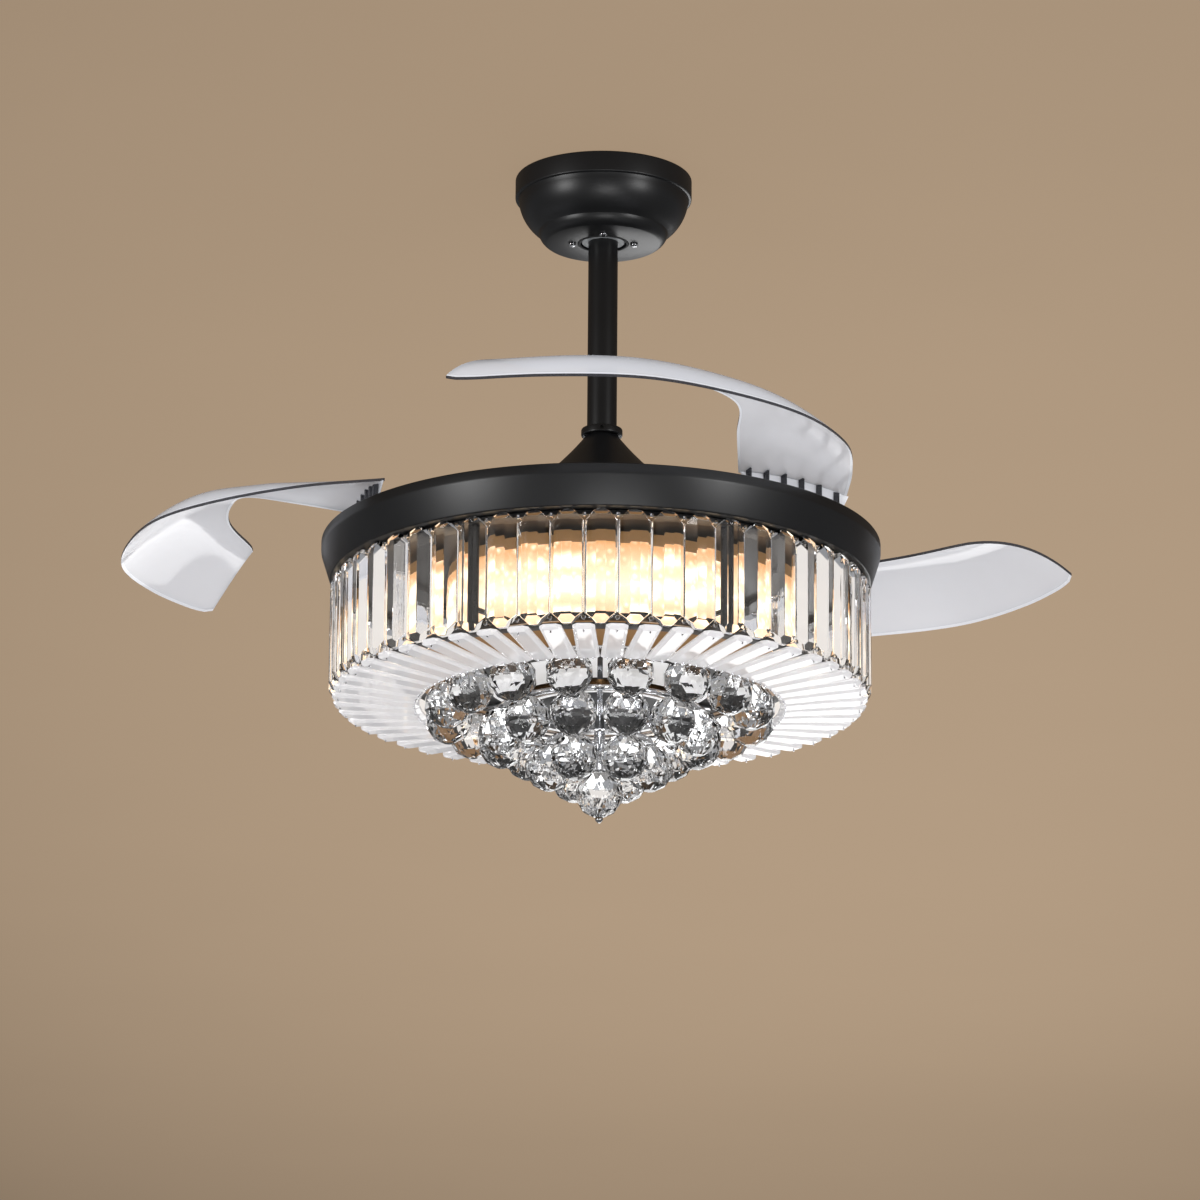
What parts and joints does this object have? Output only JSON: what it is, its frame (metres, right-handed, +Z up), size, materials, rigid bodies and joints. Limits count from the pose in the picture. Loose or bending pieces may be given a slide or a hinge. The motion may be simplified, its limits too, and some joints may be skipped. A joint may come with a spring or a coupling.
{
  "type": "ceiling fan with light",
  "caption": "Ceiling fan on a short downrod, with clear curved blades that swing out as it spins and fold over a round drum light of upright crystal bars and hanging crystal balls.",
  "frame": {"origin": "centre of the hanger bracket's top face, on the ceiling", "axes": "+Z up, out of the bracket into the ceiling; the rod hangs along -Z; -Y faces the viewer of the picture"},
  "size_m": [0.869, 0.7771, 0.6033],
  "materials": {
    "black_metal": "satin black powder coat",
    "black_plastic": "matt moulded",
    "steel": "machined or zinc plated",
    "chrome": "bright chrome plate",
    "nylon": "moulded nylon, light grey",
    "rubber": "matt black rubber",
    "copper_wire": "enamelled copper wire",
    "magnet": "ground ferrite",
    "white_metal": "white enamel reflector",
    "clear_plastic": "clear moulded acrylic",
    "crystal": "cut and polished clear crystal",
    "warm_glass": "rippled glass lit from inside, warm white"
  },
  "bodies": {
    "ceiling_base": {"hanger_bracket": "steel", "canopy": "black_metal", "canopy_seal": "rubber", "canopy_screw_1": "chrome", "canopy_screw_2": "chrome", "canopy_screw_3": "chrome", "canopy_screw_4": "chrome", "receiver_box": "black_plastic"},
    "tilt_ring": {"ball_liner": "nylon"},
    "fan_head": {"hanger_ball": "nylon", "ball_pin": "steel", "downrod": "black_metal", "supply_cable": "rubber", "rod_collar": "black_metal", "cone_cover": "black_metal", "coupling_yoke": "steel", "clevis_pin": "steel", "motor_shaft": "steel", "stator_core": "steel", "stator_winding": "copper_wire", "bearing_upper": "steel", "bearing_lower": "steel", "housing_pan": "black_metal", "pan_spacer": "steel", "shaft_nut": "steel", "lamp_plate": "white_metal", "bulb_ring": "warm_glass", "diffuser": "warm_glass", "crystal_frame": "black_metal", "crystal_bars": "crystal", "radial_crystals": "crystal", "centre_column": "black_metal", "tier_frame": "chrome", "ball_tier_1": "crystal", "ball_tier_2": "crystal", "ball_tier_3": "crystal", "centre_ball": "crystal", "finial": "chrome"},
    "rotor": {"rotor_upper_shell": "black_metal", "rotor_lower_shell": "black_metal", "magnet_ring": "magnet", "blade_disc": "black_metal", "hinge_base_1": "black_metal", "hinge_base_2": "black_metal", "hinge_base_3": "black_metal", "pivot_pin_1": "steel", "pivot_pin_2": "steel", "pivot_pin_3": "steel", "return_spring_1": "steel", "return_spring_2": "steel", "return_spring_3": "steel"},
    "blade_unit_1": {"blade_1": "clear_plastic", "blade_arm_1": "black_metal", "blade_clamp_1": "chrome"},
    "blade_unit_2": {"blade_2": "clear_plastic", "blade_arm_2": "black_metal", "blade_clamp_2": "chrome"},
    "blade_unit_3": {"blade_3": "clear_plastic", "blade_arm_3": "black_metal", "blade_clamp_3": "chrome"}
  },
  "joints": [
    {"name": "tilt_x", "type": "hinge", "parent": "ceiling_base", "child": "tilt_ring", "pos_m": [0, 0, -0.041], "axis": [1, 0, 0], "range_deg": [-11, 11]},
    {"name": "tilt_y", "type": "hinge", "parent": "tilt_ring", "child": "fan_head", "pos_m": [0, 0, -0.041], "axis": [0, 1, 0], "range_deg": [-11, 11]},
    {"name": "rotor_spin", "type": "hinge", "parent": "fan_head", "child": "rotor", "pos_m": [0, 0, -0.348], "axis": [0, 0, 1], "continuous": true},
    {"name": "blade_1_fold", "type": "hinge", "parent": "rotor", "child": "blade_unit_1", "pos_m": [-0.18147, -0.11363, -0.354], "axis": [0, 0, -1], "range_deg": [0, 50]},
    {"name": "blade_2_fold", "type": "hinge", "parent": "rotor", "child": "blade_unit_2", "pos_m": [-0.00768, 0.21397, -0.354], "axis": [0, 0, -1], "range_deg": [0, 50]},
    {"name": "blade_3_fold", "type": "hinge", "parent": "rotor", "child": "blade_unit_3", "pos_m": [0.18915, -0.10034, -0.354], "axis": [0, 0, -1], "range_deg": [0, 50]}
  ],
  "couplings": [
    {"joint": "blade_2_fold", "follows": "blade_1_fold", "ratio": 1},
    {"joint": "blade_3_fold", "follows": "blade_1_fold", "ratio": 1}
  ]
}
